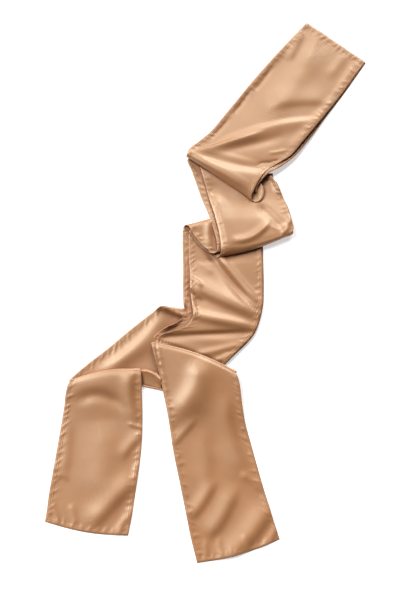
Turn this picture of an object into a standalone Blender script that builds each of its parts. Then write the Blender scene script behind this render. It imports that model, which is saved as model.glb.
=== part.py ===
"""A long narrow satin scarf, folded in half and laid down in a zigzag that parts into two tails.

Blender 4.5 script, metres, +Z up. The floor is z = 0, and the tails point to -Y.
Each stretch of cloth is a wall lofted through a short table of sections. A section runs
across the scarf from its left edge to its right edge, and a turn carries it over a fold.
Lengths in the tables are millimetres.
"""

import math
from collections import namedtuple

import bpy
import numpy as np

MM = 0.001

# Driving sizes of the cloth
WALL = 1.0
LAYER_PITCH = 1.6
SCARF_WIDTH = 120.0
HEM_WIDTH = 6.0
HEM_RAISE = 0.25

# A hidden pleat of two layers is one solid with a groove between them round its rim
DOUBLE = WALL + LAYER_PITCH
LAYERED_GROOVE = 0.8

# Middle of the outline in the tables' own coordinates, which is placed over the origin
MIDDLE = (24.0, 43.0, 0.0)

# How finely the walls are cut into facets
ROW_STEP = 15.0
COLUMNS = 7
TURN_STEPS = 6
CREASE_STEPS = 16
SHORTEST_SPAN = 0.2

# Heights of the middle of each layer above the floor
FLOOR = WALL / 2
SECOND = FLOOR + LAYER_PITCH
THIRD = FLOOR + 2 * LAYER_PITCH
FOURTH = FLOOR + 3 * LAYER_PITCH

SATIN = (0.55, 0.32, 0.17, 1.0)
SATIN_ROUGHNESS = 0.35

Row = namedtuple(
    "Row", "left_x left_y left_z right_x right_y right_z arch bow thick", defaults=(0, 0, WALL)
)
Turn = namedtuple("Turn", "far flap reach_left reach_right")
Crease = namedtuple("Crease", "x0 y0 x1 y1 x2 y2 height width")
Stretch = namedtuple("Stretch", "name rows start end creases layers", defaults=((), 1))

TOP_UPPER = Stretch(
    "top_stretch_upper",
    rows=[
        Row(175, 465, SECOND, 268, 394, SECOND),
        Row(153, 440, SECOND, 249, 368, 2.4, arch=2),
        Row(130, 414, SECOND, 231, 342, 3.0, arch=3.5),
        Row(86, 361, 2.6, 198, 299, 5.0, arch=4),
        Row(44, 306, 4.2, 163, 255, 8.0, arch=4),
        Row(14, 268, 7.2, 139, 227, 10.0, arch=3.5),
        Row(-4, 252, 8.8, 120, 215, 11.0, arch=2.5),
        Row(-15, 243, 9.4, 103, 203, 12.0, arch=2.5),
        Row(-19, 237, 9.6, 92, 189, 12.8, arch=2),
        Row(-20, 233, 9.2, 86, 174, 13.0, arch=1),
    ],
    start=None,
    end=Turn(
        far=Row(-18, 229, THIRD, 92, 160, 3.9),
        flap=Row(-16.5, 231, THIRD, 98, 172, 4.4),
        reach_left=2,
        reach_right=14,
    ),
    creases=[
        Crease(-5, 244, 60, 262, 165, 282, 4.0, 7),
        Crease(45, 264, 80, 272, 130, 264, -2.6, 9),
        Crease(60, 230, 100, 236, 135, 242, -2.0, 6),
        Crease(172, 425, 160, 400, 146, 378, -1.2, 10),
        Crease(112, 355, 94, 338, 78, 316, -1.5, 10),
    ],
)

TOP_LOWER = Stretch(
    "top_stretch_lower",
    rows=[
        Row(175, 465, FLOOR, 269, 393, FLOOR),
        Row(130, 414, FLOOR, 234, 342, FLOOR),
        Row(86, 361, 0.8, 202, 299, 1.5),
        Row(44, 306, 2.4, 171, 256, 3.5),
        Row(14, 268, 5.2, 144, 225, 6.2),
        Row(-4, 252, 6.9, 124, 210, 7.6),
        Row(-14, 243, 7.2, 108, 200, 8.4),
        Row(-17, 237, 7.3, 97, 190, 8.4),
    ],
    start=None,
    end=None,
)

FIRST_PLEAT = Stretch(
    "first_pleat",
    rows=[
        Row(20, 215.0, 4.5, 109, 193, 4.5, thick=DOUBLE),
        Row(20, 214.2, 4.5, 104, 185, 4.5, thick=DOUBLE),
        Row(20, 213.6, 4.5, 100, 178, 4.5, thick=DOUBLE),
    ],
    start=None,
    end=None,
    layers=2,
)

SECOND_UPPER = Stretch(
    "second_stretch_upper",
    rows=[
        Row(0, 213, SECOND, 109, 195, SECOND),
        Row(11, 172, SECOND, 124, 174, SECOND),
        Row(14, 160, SECOND, 129, 161, SECOND),
        Row(18, 147, 3.2, 134, 149, 3.0, arch=1),
        Row(21.5, 135, 8.1, 137.5, 136, 7.7, arch=2),
        Row(24, 125, 9.5, 139.5, 127, 8.9, arch=2.5),
        Row(28, 108, 9.7, 142, 117, 9.3, arch=2.5),
        Row(31, 89, 10.8, 143, 109, 10.2, arch=2, bow=2),
        Row(32, 78, 11.4, 144, 105, 10.6, arch=1, bow=5),
    ],
    start=None,
    end=Turn(
        far=Row(24, 67, THIRD, 141, 104, THIRD, bow=5),
        flap=Row(18, 70, THIRD, 136, 108, THIRD, bow=3),
        reach_left=5,
        reach_right=4,
    ),
    creases=[
        Crease(40, 150, 44, 125, 46, 95, 1.5, 9),
        Crease(90, 92, 112, 108, 125, 112, 2.5, 7),
        Crease(125, 112, 132, 118, 139, 130, 2.0, 6),
        Crease(112, 141, 120, 132, 128, 122, -1.2, 7),
    ],
)

SECOND_LOWER = Stretch(
    "second_stretch_lower",
    rows=[
        Row(-20, 226, FLOOR, 113, 199, FLOOR),
        Row(-6, 187, FLOOR, 126, 174, FLOOR),
        Row(3, 160, FLOOR, 131, 160, FLOOR),
        Row(8.5, 146, 1.5, 136, 148, 1.4),
        Row(13, 134, 6.3, 139, 136, 5.9),
        Row(16, 125, 7.8, 141, 127, 7.1),
        Row(21, 108, 7.8, 143, 117, 7.4),
        Row(25, 92, 9.0, 143.5, 111, 8.4),
        Row(26, 82, 9.4, 143, 108, 8.6, bow=2),
    ],
    start=Turn(
        far=Row(-18, 226, 2.3, 112, 198, FOURTH),
        flap=Row(-14, 224, 2.3, 110, 194, FOURTH),
        reach_left=1,
        reach_right=2.4,
    ),
    end=Turn(
        far=Row(13, 75, FOURTH, 137, 107, FOURTH, bow=3),
        flap=Row(7, 80, FOURTH, 131, 111, FOURTH, bow=2),
        reach_left=5.5,
        reach_right=2,
    ),
)

TURNED_UPPER = Stretch(
    "turned_stretch_upper",
    rows=[
        Row(3, 83.5, FOURTH, 128, 114, FOURTH),
        Row(-5, 94, 5.5, 116, 121, FOURTH),
        Row(-11, 103, 6.6, 107, 127, FOURTH, bow=-2),
        Row(-15, 110, 7.4, 101, 130, FOURTH, bow=-6),
    ],
    start=None,
    end=Turn(
        far=Row(-26, 112, FLOOR, 98, 129, FLOOR, bow=-6),
        flap=Row(-27, 107, FLOOR, 98, 123, FLOOR, bow=-4),
        reach_left=6,
        reach_right=5,
    ),
)

TURNED_LOWER = Stretch(
    "turned_stretch_lower",
    rows=[
        Row(15, 71.5, THIRD, 132, 110, THIRD),
        Row(1, 82, THIRD, 116, 119, THIRD),
        Row(-12, 99, 3.9, 104, 125, THIRD, bow=-2),
        Row(-16, 106, 4.6, 99, 127.5, 4.0, bow=-6),
    ],
    start=None,
    end=Turn(
        far=Row(-17.5, 106.5, SECOND, 98, 127, SECOND, bow=-6),
        flap=Row(-17.5, 104, SECOND, 96, 124, SECOND, bow=-4),
        reach_left=2,
        reach_right=0.9,
    ),
)

THIRD_UPPER = Stretch(
    "third_stretch_upper",
    rows=[
        Row(-17, 101, SECOND, 94, 119, SECOND, bow=-3),
        Row(-17, 60, SECOND, 95, 75, SECOND),
        Row(-16, 50, 2.3, 95.5, 56, 2.3, arch=3),
        Row(-15, 15, 2.8, 95, 18, 2.5, arch=4),
        Row(-11, -9, 4.4, 93.5, -8, 3.4, arch=4),
        Row(-13, -27, 6.2, 88, -32, 4.2, arch=2),
        Row(-25, -40, 7.5, 80, -52, 5.5, arch=1),
        Row(-45, -47, 7.0, 66, -68, 5.5, arch=1),
        Row(-60, -55, 6.0, 50, -84, 5.4),
        Row(-68, -65, 5.4, 31, -104, 5.4),
    ],
    start=None,
    end=None,
    creases=[
        Crease(32, 50, 58, 28, 86, 4, 3.0, 8),
        Crease(22, 44, 42, 20, 66, 2, -1.8, 7),
        Crease(12, 6, 35, -8, 70, -7, -2.5, 9),
        Crease(5, -18, 35, -22, 70, -33, 1.5, 8),
        Crease(-30, -48, 0, -46, 50, -47, -1.2, 6),
        Crease(-40, -56, 0, -58, 50, -57, 1.2, 7),
    ],
)

THIRD_LOWER = Stretch(
    "third_stretch_lower",
    rows=[
        Row(-27, 104, FLOOR, 97.5, 120, FLOOR, bow=-3),
        Row(-27, 86, FLOOR, 97, 94, FLOOR),
        Row(-26, 50, FLOOR, 97, 55, FLOOR),
        Row(-26, 15, FLOOR, 97, 19, FLOOR),
        Row(-25, -6, 1.8, 95.5, -8, 1.0),
        Row(-26, -22, THIRD, 90.5, -31, 2.6),
        Row(-38, -35, THIRD, 82.5, -51, THIRD),
        Row(-54, -45, THIRD, 69, -68, THIRD),
        Row(-67, -54, THIRD, 52, -84, THIRD),
        Row(-74, -62, THIRD, 33, -103, THIRD),
    ],
    start=None,
    end=None,
)

CROSS_PLEAT = Stretch(
    "cross_pleat",
    rows=[
        Row(0, -36, SECOND, 31, -88, SECOND),
        Row(-28, -50, SECOND, 22, -96, SECOND),
        Row(-58, -64, SECOND, 10, -104, SECOND),
    ],
    start=None,
    end=None,
)

TAIL_PLEAT = Stretch(
    "tail_pleat",
    rows=[
        Row(-56, -74, 4.6, 32, -112, 4.6, thick=DOUBLE),
        Row(-46, -88, 4.6, 26, -124, 4.5, thick=DOUBLE),
        Row(-34, -105, 4.2, 15, -135, 4.0, thick=2.4),
        Row(-20, -124, 3.6, 5, -145, 3.4, thick=2.0),
        Row(-8, -144, 3.0, -3, -150, 2.9, thick=1.6),
    ],
    start=None,
    end=None,
    layers=2,
)

RIGHT_TAIL = Stretch(
    "right_tail",
    rows=[
        Row(-71, -69, 9.6, 55, -112.5, 9.6, arch=1.0, bow=-6.5),
        Row(-71, -80, 9.2, 57, -123.5, 9.2, arch=1.5, bow=-5),
        Row(-63, -106, 7.0, 60, -140, 7.6, arch=2.5, bow=-2),
        Row(-55, -136, 4.4, 62, -157, 5.4, arch=3),
        Row(-47, -173, 1.6, 66, -183, 2.2, arch=1.5),
        Row(-39, -223, FLOOR, 74, -213, FLOOR),
        Row(-30, -265, FLOOR, 82, -243, FLOOR),
        Row(-21, -307, FLOOR, 92, -279, FLOOR),
        Row(-13, -345, FLOOR, 103, -315, FLOOR, bow=2),
        Row(-4, -379, FLOOR, 113, -347, FLOOR, bow=5),
    ],
    start=Turn(
        far=Row(-70.5, -67, 7.2, 54, -110.5, 7.0, bow=-6.5),
        flap=Row(-69, -69, 7.2, 53, -112.5, 7.0, bow=-6.5),
        reach_left=1.4,
        reach_right=2,
    ),
    end=None,
    creases=[
        Crease(-66, -84, -25, -105, -32, -150, 2.0, 9),
        Crease(-32, -150, -42, -165, -50, -180, 1.5, 7),
        Crease(-15, -130, 0, -160, 4, -185, -2.5, 10),
        Crease(5, -185, 22, -215, 30, -250, 2.5, 14),
        Crease(-22, -235, -12, -285, -4, -320, 1.8, 10),
        Crease(62, -215, 68, -235, 76, -262, 1.8, 8),
        Crease(60, -335, 78, -318, 95, -290, 2.5, 11),
    ],
)

CROSS_STRETCH = Stretch(
    "cross_stretch",
    rows=[
        Row(-2, -16, FLOOR, 28, -82, FLOOR),
        Row(-24, -14, FLOOR, 15, -93, FLOOR),
        Row(-42, -12, FLOOR, 4, -102, FLOOR),
        Row(-59, -11, FLOOR, -6, -110, FLOOR),
        Row(-75, -22, FLOOR, -18, -119, FLOOR),
        Row(-105, -46, FLOOR, -32, -128, FLOOR),
        Row(-140, -76, FLOOR, -42, -132, FLOOR),
        Row(-169, -99, FLOOR, -48, -134, FLOOR),
        Row(-187, -115, FLOOR, -51, -136, FLOOR, bow=-2),
        Row(-193, -122, FLOOR, -52, -137, FLOOR, bow=-5),
    ],
    start=None,
    end=Turn(
        far=Row(-193, -122, SECOND, -52, -137, SECOND, bow=-5),
        flap=Row(-192, -120, SECOND, -53, -135, SECOND, bow=-5),
        reach_left=0.9,
        reach_right=0.9,
    ),
    creases=[
        Crease(-46, -11, -56, -9, -68, -15, 4.5, 9),
        Crease(-60, -16, -70, -30, -85, -42, 1.5, 8),
    ],
)

LEFT_PLEAT = Stretch(
    "left_pleat",
    rows=[
        Row(-112, -113.6, SECOND, -84, -111.8, 2.4),
        Row(-112, -115.0, SECOND, -78, -112.6, 2.4),
        Row(-112, -117.5, SECOND, -67, -120.5, 2.4),
        Row(-112, -120.5, SECOND, -57, -131.0, SECOND, bow=-1),
    ],
    start=None,
    end=None,
)

LEFT_TAIL = Stretch(
    "left_tail",
    rows=[
        Row(-195, -131, 5.4, -87, -109, 6.4, arch=1, bow=-6.5),
        Row(-196, -140, 5.0, -86, -122, 6.2, arch=1.5, bow=-4),
        Row(-199, -158, 3.0, -85, -148, 3.8, arch=2),
        Row(-203, -187, 0.9, -84, -183, 1.0, arch=1),
        Row(-207, -216, FLOOR, -85, -220, FLOOR),
        Row(-212, -251, FLOOR, -89, -257, FLOOR),
        Row(-217, -286, FLOOR, -94, -293, FLOOR),
        Row(-219, -308, FLOOR, -98, -321, FLOOR, bow=2),
        Row(-221, -323, FLOOR, -102, -342, FLOOR, bow=5),
    ],
    start=Turn(
        far=Row(-195, -130.8, 3.6, -87, -108.5, 2.4, bow=-6.5),
        flap=Row(-194, -132.5, 3.6, -86.5, -110, 2.4, bow=-6.5),
        reach_left=1.1,
        reach_right=4,
    ),
    end=None,
    creases=[
        Crease(-185, -150, -165, -160, -150, -175, -1.2, 12),
        Crease(-190, -205, -170, -225, -150, -235, 2.0, 11),
        Crease(-120, -135, -108, -150, -100, -165, 2.0, 10),
        Crease(-150, -300, -130, -275, -108, -250, 2.5, 12),
        Crease(-200, -300, -185, -280, -175, -262, 1.8, 9),
    ],
)

STRETCHES = [
    TOP_UPPER,
    TOP_LOWER,
    FIRST_PLEAT,
    SECOND_UPPER,
    SECOND_LOWER,
    TURNED_UPPER,
    TURNED_LOWER,
    THIRD_UPPER,
    THIRD_LOWER,
    CROSS_PLEAT,
    TAIL_PLEAT,
    RIGHT_TAIL,
    CROSS_STRETCH,
    LEFT_PLEAT,
    LEFT_TAIL,
]


def turn_rows(edge, turn):
    """Rows of a half turn from a panel's edge row over a fold to its far row, then the flap."""
    edge = np.array(edge, float)
    far = np.array(turn.far, float)
    flap = np.array(turn.flap, float)
    line = (far[3:5] - far[0:2]) + (edge[3:5] - edge[0:2])
    outward = np.array([line[1], -line[0]]) / np.linalg.norm(line)
    inward = (flap[0:2] + flap[3:5]) - (far[0:2] + far[3:5])
    if outward @ inward > 0:
        outward = -outward
    rows = []
    for step in range(1, TURN_STEPS + 1):
        angle = math.pi * step / TURN_STEPS
        row = edge + (far - edge) * (1 - math.cos(angle)) / 2
        row[0:2] += outward * turn.reach_left * math.sin(angle)
        row[3:5] += outward * turn.reach_right * math.sin(angle)
        rows.append(row)
    return rows + [flap]


def all_rows(stretch):
    """The panel's rows with the turns at its two ends, in order along the cloth."""
    rows = [np.array(row, float) for row in stretch.rows]
    before = []
    after = []
    if stretch.start:
        before = turn_rows(stretch.rows[0], stretch.start)[::-1]
    if stretch.end:
        after = turn_rows(stretch.rows[-1], stretch.end)
    return np.array(before + rows + after)


def smooth_rows(rows):
    """Rows spaced by about ROW_STEP along a smooth curve through the given ones."""
    left = np.linalg.norm(np.diff(rows[:, 0:3], axis=0), axis=1)
    right = np.linalg.norm(np.diff(rows[:, 3:6], axis=0), axis=1)
    spans = np.maximum((left + right) / 2, SHORTEST_SPAN)
    chords = np.diff(rows, axis=0) / spans[:, None]
    slopes = np.empty_like(rows)
    slopes[0] = chords[0]
    slopes[-1] = chords[-1]
    before = spans[:-1, None]
    after = spans[1:, None]
    slopes[1:-1] = (chords[:-1] * after + chords[1:] * before) / (before + after)
    smaller = np.minimum(np.abs(chords[:-1]), np.abs(chords[1:]))
    steady = np.where(chords[:-1] * chords[1:] > 0, 2 * smaller, 0)
    heights = [2, 5, 6]
    slopes[1:-1, heights] = np.clip(slopes[1:-1], -steady, steady)[:, heights]
    result = [rows[0]]
    for i, span in enumerate(spans):
        pieces = max(1, round(span / ROW_STEP))
        for k in range(1, pieces + 1):
            t = k / pieces
            result.append(
                rows[i] * (2 * t**3 - 3 * t**2 + 1)
                + slopes[i] * span * (t**3 - 2 * t**2 + t)
                + rows[i + 1] * (3 * t**2 - 2 * t**3)
                + slopes[i + 1] * span * (t**3 - t**2)
            )
    return np.array(result)


def across():
    """Where the facets' corners lie across the scarf, from 0 at the left edge to 1."""
    hem = HEM_WIDTH / SCARF_WIDTH
    return np.concatenate([[0], np.linspace(hem, 1 - hem, COLUMNS), [1]])


def sheet_points(rows):
    """Grid of points of the cloth's middle, rows along it by columns across it."""
    v = across()[None, :, None]
    left = rows[:, None, 0:3]
    right = rows[:, None, 3:6]
    points = left + (right - left) * v
    wave = np.sin(math.pi * v)
    points[:, :, 2:3] += rows[:, None, 6:7] * wave
    line = rows[:, 3:5] - rows[:, 0:2]
    length = np.linalg.norm(line, axis=1)
    downstream = np.stack([line[:, 1], -line[:, 0]], axis=1) / length[:, None]
    points[:, :, 0:2] += downstream[:, None, :] * rows[:, None, 7:8] * wave
    return points


def crease_heights(points, creases):
    """Height that the creases add at each point, each a smooth bump along its own curve."""
    total = np.zeros(points.shape[:2])
    for crease in creases:
        t = np.linspace(0, 1, CREASE_STEPS)[:, None]
        start = np.array([crease.x0, crease.y0])
        middle = np.array([crease.x1, crease.y1])
        end = np.array([crease.x2, crease.y2])
        curve = start * (1 - t) ** 2 + middle * 2 * t * (1 - t) + end * t**2
        apart = np.linalg.norm(points[:, :, None, 0:2] - curve, axis=3).min(axis=2)
        total += crease.height * np.exp(-((apart / crease.width) ** 2))
    return total


def tangents(points, axis):
    """Direction of a grid of points along one axis, halfway between the steps on both sides."""
    steps = np.diff(points, axis=axis)
    steps /= np.maximum(np.linalg.norm(steps, axis=2, keepdims=True), 1e-6)
    first = np.take(steps, [0], axis=axis)
    last = np.take(steps, [-1], axis=axis)
    return np.concatenate([first, steps], axis=axis) + np.concatenate([steps, last], axis=axis)


def sheet_normals(points):
    """Unit normals of a grid of points, on the side that faces up halfway along it."""
    normal = np.cross(tangents(points, 0), tangents(points, 1))
    normal /= np.linalg.norm(normal, axis=2, keepdims=True)
    if normal[len(points) // 2, 1:-1, 2].mean() < 0:
        normal = -normal
    return normal


def creased_sheet(stretch):
    """Grid of points of a stretch's middle with its creases, and its thickness in each row."""
    rows = smooth_rows(all_rows(stretch))
    points = sheet_points(rows)
    facing_up = np.clip(sheet_normals(points)[:, :, 2], 0, 1)
    points[:, :, 2] += crease_heights(points, stretch.creases) * facing_up
    return points, rows[:, 8]


def wall_sides(points, thick, hemmed):
    """Top and bottom grids of a wall, its hems raised where they face up, none under the floor."""
    normal = sheet_normals(points)
    half = thick[:, None, None] / 2
    raised = np.zeros(points.shape[:2] + (1,))
    if hemmed:
        edges = [0, -1]
        raised[:, edges, 0] = HEM_RAISE * np.clip(2 * normal[:, edges, 2] - 1, 0, 1)
    top = points + normal * (half + raised)
    bottom = points - normal * half
    for side in (top, bottom):
        side[:, :, 2] = np.maximum(side[:, :, 2], 0)
    return top, bottom


def edge_ring(row_count, column_count):
    """Grid places round the edge of a sheet, in order."""
    ring = [(0, j) for j in range(column_count)]
    ring += [(i, column_count - 1) for i in range(1, row_count)]
    ring += [(row_count - 1, j) for j in range(column_count - 2, -1, -1)]
    ring += [(i, 0) for i in range(row_count - 2, 0, -1)]
    return ring


def groove_points(points, top, bottom, ring, share):
    """Ring of points at a share of the way down the rim, set back between two layers."""
    row_count, column_count = points.shape[:2]
    result = []
    for i, j in ring:
        ahead = points[min(max(i, 1), row_count - 2), min(max(j, 1), column_count - 2)]
        inward = ahead - points[i, j]
        inward /= np.linalg.norm(inward)
        middle = top[i, j] * (1 - share) + bottom[i, j] * share
        result.append(middle + inward * LAYERED_GROOVE)
    return np.array(result)


def side_faces(row_count, column_count):
    """Triangles of the top grid and of the bottom grid, whose places follow the top's."""
    size = row_count * column_count
    faces = []
    for i in range(row_count - 1):
        for j in range(column_count - 1):
            a = i * column_count + j
            b = a + 1
            c = b + column_count
            d = a + column_count
            faces += [(a, c, b), (a, d, c)]
            faces += [(a + size, b + size, c + size), (a + size, c + size, d + size)]
    return faces


def band_faces(upper, lower):
    """Triangles between two closed rings of places."""
    faces = []
    for k in range(len(upper)):
        m = (k + 1) % len(upper)
        faces += [(upper[k], upper[m], lower[m]), (upper[k], lower[m], lower[k])]
    return faces


def wall_mesh(stretch):
    """Vertices in millimetres and faces of the closed wall of one stretch."""
    points, thick = creased_sheet(stretch)
    top, bottom = wall_sides(points, thick, hemmed=stretch.layers == 1)
    row_count, column_count = points.shape[:2]
    size = row_count * column_count
    blocks = [top.reshape(-1, 3), bottom.reshape(-1, 3)]
    ring = edge_ring(row_count, column_count)
    rims = [[i * column_count + j for i, j in ring]]
    for k in range(1, stretch.layers):
        first = sum(len(block) for block in blocks)
        blocks.append(groove_points(points, top, bottom, ring, k / stretch.layers))
        rims.append(list(range(first, first + len(ring))))
    rims.append([place + size for place in rims[0]])
    faces = side_faces(row_count, column_count)
    for upper, lower in zip(rims[:-1], rims[1:]):
        faces += band_faces(upper, lower)
    return np.concatenate(blocks), faces


def signed_volume(vertices, faces):
    """Six times the volume inside the faces, negative where they point in."""
    corners = vertices[np.array(faces)]
    return np.einsum("ij,ij->i", corners[:, 0], np.cross(corners[:, 1], corners[:, 2])).sum()


def make_object(stretch):
    """One named solid with its own material."""
    vertices, faces = wall_mesh(stretch)
    if signed_volume(vertices, faces) < 0:
        faces = [face[::-1] for face in faces]
    mesh = bpy.data.meshes.new(stretch.name)
    mesh.from_pydata([tuple(v) for v in (vertices - MIDDLE) * MM], [], faces)
    mesh.materials.append(satin_material(stretch.name + "_satin"))
    piece = bpy.data.objects.new(stretch.name, mesh)
    bpy.context.collection.objects.link(piece)
    return piece


def satin_material(name):
    material = bpy.data.materials.new(name)
    material.use_nodes = True
    shader = material.node_tree.nodes["Principled BSDF"]
    shader.inputs["Base Color"].default_value = SATIN
    shader.inputs["Roughness"].default_value = SATIN_ROUGHNESS
    shader.inputs["Metallic"].default_value = 0.0
    return material


def main():
    for old in list(bpy.data.objects):
        bpy.data.objects.remove(old, do_unlink=True)
    for stretch in STRETCHES:
        make_object(stretch)


main()
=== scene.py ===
"""Looks of a satin scarf, folded in half and laid down in a zigzag that parts into two tails.

Each stretch of cloth is a thin shell on the form of its solid, from short tables of rows. On it
lie the soft creases that the light shows, the turned hems with their puckers, and the rows of
stitches. Lengths are in millimetres, apart from those of the materials, the floor and the camera.
"""

import math
from collections import namedtuple

import bpy
import numpy as np
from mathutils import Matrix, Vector


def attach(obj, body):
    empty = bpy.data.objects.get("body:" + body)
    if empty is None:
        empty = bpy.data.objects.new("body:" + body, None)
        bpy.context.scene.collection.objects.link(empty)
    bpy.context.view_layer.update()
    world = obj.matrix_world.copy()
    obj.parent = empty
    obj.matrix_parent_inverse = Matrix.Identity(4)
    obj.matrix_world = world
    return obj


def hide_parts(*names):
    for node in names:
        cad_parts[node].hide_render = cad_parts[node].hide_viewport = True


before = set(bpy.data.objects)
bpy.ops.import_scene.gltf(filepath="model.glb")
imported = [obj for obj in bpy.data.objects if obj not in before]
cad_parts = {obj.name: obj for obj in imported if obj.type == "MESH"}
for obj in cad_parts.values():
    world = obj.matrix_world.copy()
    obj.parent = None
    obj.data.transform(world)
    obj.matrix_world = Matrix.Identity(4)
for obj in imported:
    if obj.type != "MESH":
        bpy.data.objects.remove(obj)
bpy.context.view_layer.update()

# Metres in a millimetre, and the place in the tables that is the frame's origin
MM = 0.001
MIDDLE = (24.0, 43.0, 0.0)

# The solids' walls, and the heights of the middles of layers that lie flat on each other
WALL = 1.0
LAYER_PITCH = 1.6
DOUBLE = WALL + LAYER_PITCH
FLOOR = WALL / 2
SECOND = FLOOR + LAYER_PITCH
THIRD = FLOOR + 2 * LAYER_PITCH
FOURTH = FLOOR + 3 * LAYER_PITCH

# The visible cloth
CLOTH = 0.4
THINNEST = 0.1
LOWEST = 0.05
EDGE_ROUNDING = 0.9
EDGE_SHARE = 0.1

# The cloth's mesh, which is coarser where it hardly shows
FINE_STEP = 1.5
HIDDEN_STEP = 3.0
LEAST_COLUMNS = 4
TURN_STEPS = 10
SHORTEST_SPAN = 0.2
SHORTEST_STEP = 1e-6
FAR_AWAY = 1000.0

# The creases: places along each curve, and the share of it over which each end fades
CREASE_STEPS = 48
CREASE_TAPER = 0.3

# The stitches
STITCH_LINE = 4.9
STITCH_PITCH = 3.0
STITCH_LENGTH = 2.3
STITCH_RADIUS = 0.22
STITCH_DIP = 1.6
STITCH_SIDES = 6
STITCH_RINGS = ((-0.5, 0.25), (-0.3, 0.9), (0.0, 1.0), (0.3, 0.9), (0.5, 0.25))

# The turned hems, with the groove under their stitches and the mesh lines across them
HEM = 6.0
HEM_FOOT = 6.5
HEM_SLOPE = 0.9
HEM_RAISE = 0.5
GROOVE_DEPTH = 0.34
GROOVE_WIDTH = 0.8
HEM_LINES = (0.0, 0.35, 0.9, 1.8, 2.8, 3.8, 4.5, STITCH_LINE, 5.3, 5.8, 6.5, 7.5, 8.8)
COARSE_HEM_LINES = (0.0, 0.5, 2.5, STITCH_LINE, 6.0, 8.0)

# The puckers beside the hems, most of them as ranges to draw from
PUCKER_START = (2, 8)
PUCKER_SPACING = (5, 15)
PUCKER_HEIGHT = (0.25, 0.8)
PUCKER_WIDTH = (1.8, 3.4)
PUCKER_REACH = (2.5, 7)
PUCKER_SKEW = (-0.5, 0.5)
PUCKER_FOOT = 2.0
PUCKER_RISE = 4.0
PUCKER_SHARE = 0.25
SEEDS_APART = 100

# Colours of each material, as stops of a ramp
SATIN_TINTS = ((0.3, (0.450, 0.184, 0.066)), (0.7, (0.508, 0.214, 0.079)))
# Painted shade: the darkening that the satin's colour takes by ambient occlusion in hollows, creases
# and under folds
PAINTED_HOLLOW_SHADE = (
    (0.28, (0.34, 0.13, 0.06)),
    (0.67, (0.80, 0.60, 0.46)),
    (0.98, (1.0, 1.0, 1.0)),
)
THREAD_TINTS = ((0.0, (0.42, 0.23, 0.11)), (1.0, (0.60, 0.37, 0.21)))
FLOOR_TINTS = ((0.0, (0.90, 0.90, 0.90)), (1.0, (0.92, 0.92, 0.92)))
WHITE = (1.0, 1.0, 1.0, 1.0)

# A row across the cloth: its two ends, how far its middle arches up and bows along, and its wall
Row = namedtuple(
    "Row", "left_x left_y left_z right_x right_y right_z arch bow thick", defaults=(0, 0, WALL)
)

# The same as columns of an array of rows
LEFT = slice(0, 3)
LEFT_PLAN = slice(0, 2)
RIGHT = slice(3, 6)
RIGHT_PLAN = slice(3, 5)
ARCH = slice(6, 7)
BOW = slice(7, 8)
THICK = 8
HEIGHTS = [2, 5, 6]

# A half turn over a fold: the row beyond it, the flap's last row, and how far its ends reach out
Turn = namedtuple("Turn", "far flap reach_left reach_right")

# A stretch of cloth: its rows, the turns at its two ends, and how many layers lie in its solid
Stretch = namedtuple("Stretch", "name rows start end layers", defaults=(None, None, 1))

# A crease along a curve from its first place to its last, drawn towards the one between.
# One with a lean is wider on its left, or with a negative lean on its right.
Crease = namedtuple("Crease", "x0 y0 x1 y1 x2 y2 height width lean", defaults=(0,))

# The stretches, with their rows in order along the cloth
TOP_UPPER = Stretch(
    "top_stretch_upper",
    rows=[
        Row(175, 465, SECOND, 268, 394, SECOND),
        Row(153, 440, SECOND, 249, 368, 2.4, arch=1),
        Row(130, 414, SECOND, 231, 342, 3.0, arch=1.8),
        Row(86, 361, 2.6, 198, 299, 5.0, arch=2),
        Row(44, 306, 4.2, 163, 255, 8.0, arch=2),
        Row(14, 268, 7.2, 139, 227, 9.0, arch=1),
        Row(-4, 252, 8.4, 120, 215, 9.2, arch=0.5),
        Row(-15, 243, 9.0, 103, 203, 11.6, arch=2),
        Row(-19, 237, 9.4, 91, 186, 13.0, arch=2.8),
        Row(-20.5, 232, 8.6, 82.5, 169, 11.8, arch=1),
        Row(-21.3, 230.5, 7.3, 80, 161.5, 9.4),
        Row(-21.3, 229.5, 6.0, 81.5, 156, 7.0),
        Row(-20, 229, 4.6, 86.5, 153.5, 5.6),
        Row(-18, 229.5, 3.9, 93, 155.5, 5.8),
        Row(-17, 231, 3.8, 98, 162, 6.6),
        Row(-16.5, 232, 3.8, 99.5, 170.5, 7.2),
        Row(-16, 233, 3.9, 98, 179, 7.4),
        Row(-16, 234, 4.0, 94.5, 185, 7.6),
    ],
)

TOP_LOWER = Stretch(
    "top_stretch_lower",
    rows=[
        Row(175, 465, FLOOR, 269, 393, FLOOR),
        Row(130, 414, FLOOR, 234, 342, FLOOR),
        Row(86, 361, 0.8, 202, 299, 1.5),
        Row(44, 306, 2.4, 171, 256, 3.5),
        Row(14, 268, 5.2, 144, 225, 6.2),
        Row(-4, 252, 6.9, 124, 210, 7.6),
        Row(-14, 243, 7.0, 107, 200, 9.8),
        Row(-17, 237, 6.8, 96, 188, 10.8),
        Row(-18, 233, 6.4, 88, 174, 9.8),
        Row(-18, 231, 5.8, 89, 167, 7.0),
    ],
)

FIRST_PLEAT = Stretch(
    "first_pleat",
    rows=[
        Row(20, 215.0, 4.5, 90, 198, 4.5, thick=DOUBLE),
        Row(20, 214.2, 4.5, 87, 190, 4.5, thick=DOUBLE),
        Row(20, 213.6, 4.5, 84, 184, 4.5, thick=DOUBLE),
    ],
    layers=2,
)

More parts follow.
